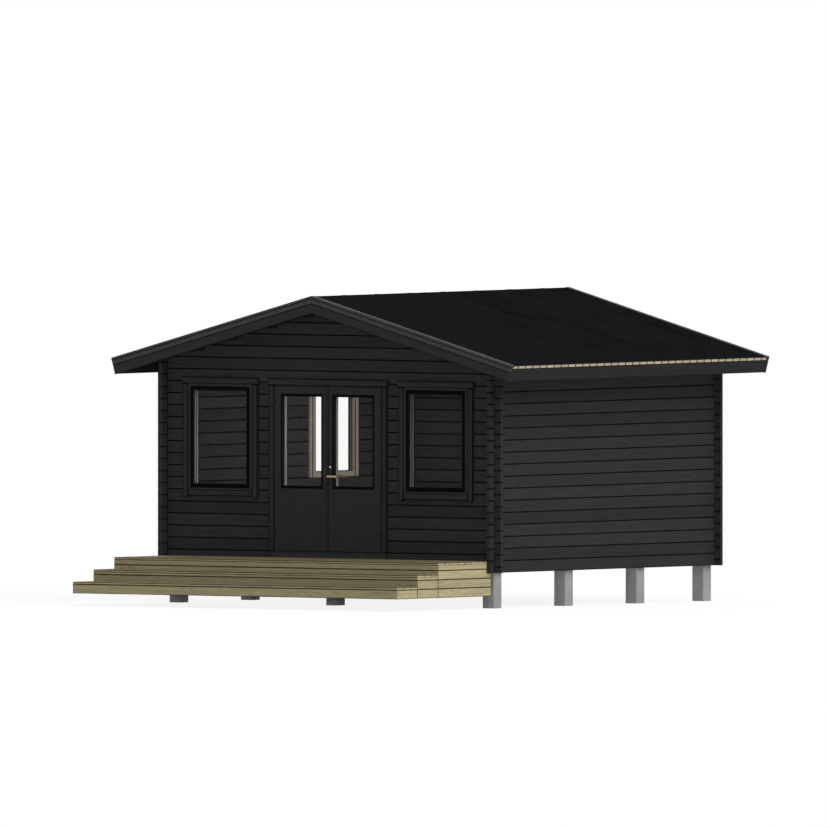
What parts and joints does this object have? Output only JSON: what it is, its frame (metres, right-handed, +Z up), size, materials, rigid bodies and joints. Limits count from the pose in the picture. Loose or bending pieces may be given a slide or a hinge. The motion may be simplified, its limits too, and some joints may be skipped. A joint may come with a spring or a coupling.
{
  "type": "garden cabin",
  "caption": "Log garden cabin with a low gable roof, glazed double door, windows and a stepped terrace, on foundation posts.",
  "frame": {"origin": "on the ground, below the middle of the box round the whole cabin with its terrace and roof", "axes": "+X to the right along the front wall, +Y from the terrace to the rear wall, +Z up"},
  "size_m": [5.57, 6.328, 3.4788],
  "materials": {
    "black_stained_timber": "opaque black stain on planed pine",
    "verge_trim": "opaque dark grey stain on planed pine",
    "natural_timber": "bare planed pine",
    "treated_timber": "pressure treated pine, olive brown",
    "roofing": "black mineral bitumen sheet",
    "post_concrete": "cast grey concrete",
    "clear_glass": "clear float glass",
    "black_metal": "satin black",
    "steel": "satin",
    "brass": "satin"
  },
  "bodies": {
    "cabin": {"bottom_step_boards": "treated_timber", "bottom_step_frame": "treated_timber", "door_casing": "black_stained_timber", "door_frame": "black_stained_timber", "door_hinge_plates": "black_metal", "eave_fascias": "black_stained_timber", "floor_boards": "natural_timber", "floor_joists": "natural_timber", "foundation_posts": "post_concrete", "front_bargeboards": "black_stained_timber", "front_gable_logs": "black_stained_timber", "front_sill_log": "black_stained_timber", "front_wall_left_logs": "black_stained_timber", "front_wall_right_logs": "black_stained_timber", "left_front_window_casing": "black_stained_timber", "left_front_window_frame": "black_stained_timber", "left_wall_logs": "black_stained_timber", "middle_step_boards": "treated_timber", "middle_step_frame": "treated_timber", "platform_boards": "treated_timber", "platform_frame": "treated_timber", "rear_bargeboards": "black_stained_timber", "rear_gable_logs": "black_stained_timber", "rear_wall_logs": "black_stained_timber", "right_front_window_casing": "black_stained_timber", "right_front_window_frame": "black_stained_timber", "right_wall_logs": "black_stained_timber", "roof_boards_left": "natural_timber", "roof_boards_right": "natural_timber", "roof_purlins": "black_stained_timber", "roofing_left": "roofing", "roofing_right": "roofing", "side_window_casing": "black_stained_timber", "side_window_frame": "black_stained_timber", "verge_battens": "verge_trim", "verge_caps": "verge_trim", "window_glass": "clear_glass"},
    "left_door": {"left_door_leaf": "black_stained_timber", "left_door_glass": "clear_glass", "left_door_hinges": "black_metal"},
    "right_door": {"right_door_leaf": "black_stained_timber", "right_door_glass": "clear_glass", "right_door_hinges": "black_metal", "door_lock": "steel"},
    "handle": {"door_handle": "brass"}
  },
  "joints": [
    {"name": "left_door_swing", "type": "hinge", "parent": "cabin", "child": "left_door", "pos_m": [-0.74375, -1.418, 1.52825], "axis": [0, 0, -1], "range_deg": [0, 105]},
    {"name": "right_door_swing", "type": "hinge", "parent": "cabin", "child": "right_door", "pos_m": [0.74375, -1.418, 1.52825], "axis": [0, 0, 1], "range_deg": [0, 105]},
    {"name": "handle_turn", "type": "hinge", "parent": "right_door", "child": "handle", "pos_m": [0.0455, -1.409, 1.449], "axis": [0, 1, 0], "range_deg": [0, 40], "stiffness_Nm_per_rad": 2, "springref_deg": -17.19}
  ]
}
